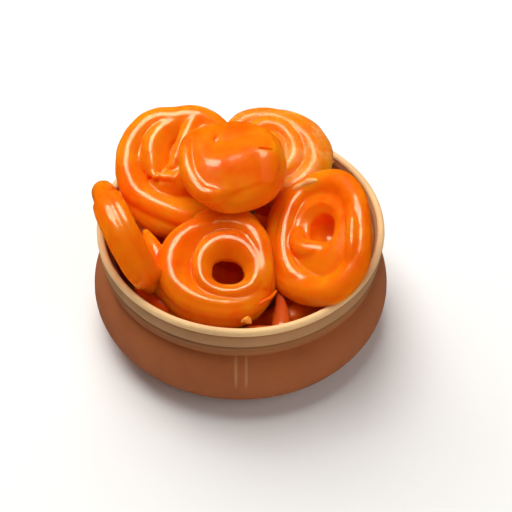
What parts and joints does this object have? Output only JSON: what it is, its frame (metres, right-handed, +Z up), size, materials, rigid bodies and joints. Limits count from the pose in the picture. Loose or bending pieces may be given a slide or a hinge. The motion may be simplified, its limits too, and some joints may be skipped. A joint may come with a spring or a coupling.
{
  "type": "bowl of jalebi",
  "caption": "Round terracotta bowl with a rolled lip, heaped above the rim with syrup-soaked jalebi: thick spiral coils of fried batter, piled at different leans.",
  "frame": {"origin": "middle of the bowl's flat foot, on the surface that it stands on", "axes": "+Z up along the bowl's axis; -Y is the front, where the incised strokes on the belly and the coil with the round hole are; +X is to the right, seen from the front"},
  "size_m": [0.145, 0.145, 0.1024],
  "materials": {
    "terracotta": "matte unglazed clay, with a paler lip",
    "jalebi_front": "glossy, translucent syrup-soaked batter",
    "jalebi_right": "glossy, translucent syrup-soaked batter",
    "jalebi_back_left": "glossy, translucent syrup-soaked batter",
    "jalebi_top": "glossy, translucent syrup-soaked batter",
    "jalebi_back_right": "glossy, translucent syrup-soaked batter",
    "jalebi_left": "glossy, translucent syrup-soaked batter",
    "lower_front_right": "glossy, translucent syrup-soaked batter",
    "lower_right": "glossy, translucent syrup-soaked batter",
    "lower_back": "glossy, translucent syrup-soaked batter",
    "lower_left": "glossy, translucent syrup-soaked batter",
    "lower_front_left": "glossy, translucent syrup-soaked batter",
    "middle_floor": "glossy, translucent syrup-soaked batter",
    "middle_second": "glossy, translucent syrup-soaked batter",
    "middle_third": "glossy, translucent syrup-soaked batter",
    "under_back_left": "glossy, translucent syrup-soaked batter",
    "under_back_right": "glossy, translucent syrup-soaked batter"
  },
  "bodies": {
    "root": {"bowl": "terracotta", "jalebi_front": "jalebi_front", "jalebi_right": "jalebi_right", "jalebi_back_left": "jalebi_back_left", "jalebi_top": "jalebi_top", "jalebi_back_right": "jalebi_back_right", "jalebi_left": "jalebi_left", "lower_front_right": "lower_front_right", "lower_right": "lower_right", "lower_back": "lower_back", "lower_left": "lower_left", "lower_front_left": "lower_front_left", "middle_floor": "middle_floor", "middle_second": "middle_second", "middle_third": "middle_third", "under_back_left": "under_back_left", "under_back_right": "under_back_right"}
  },
  "joints": []
}
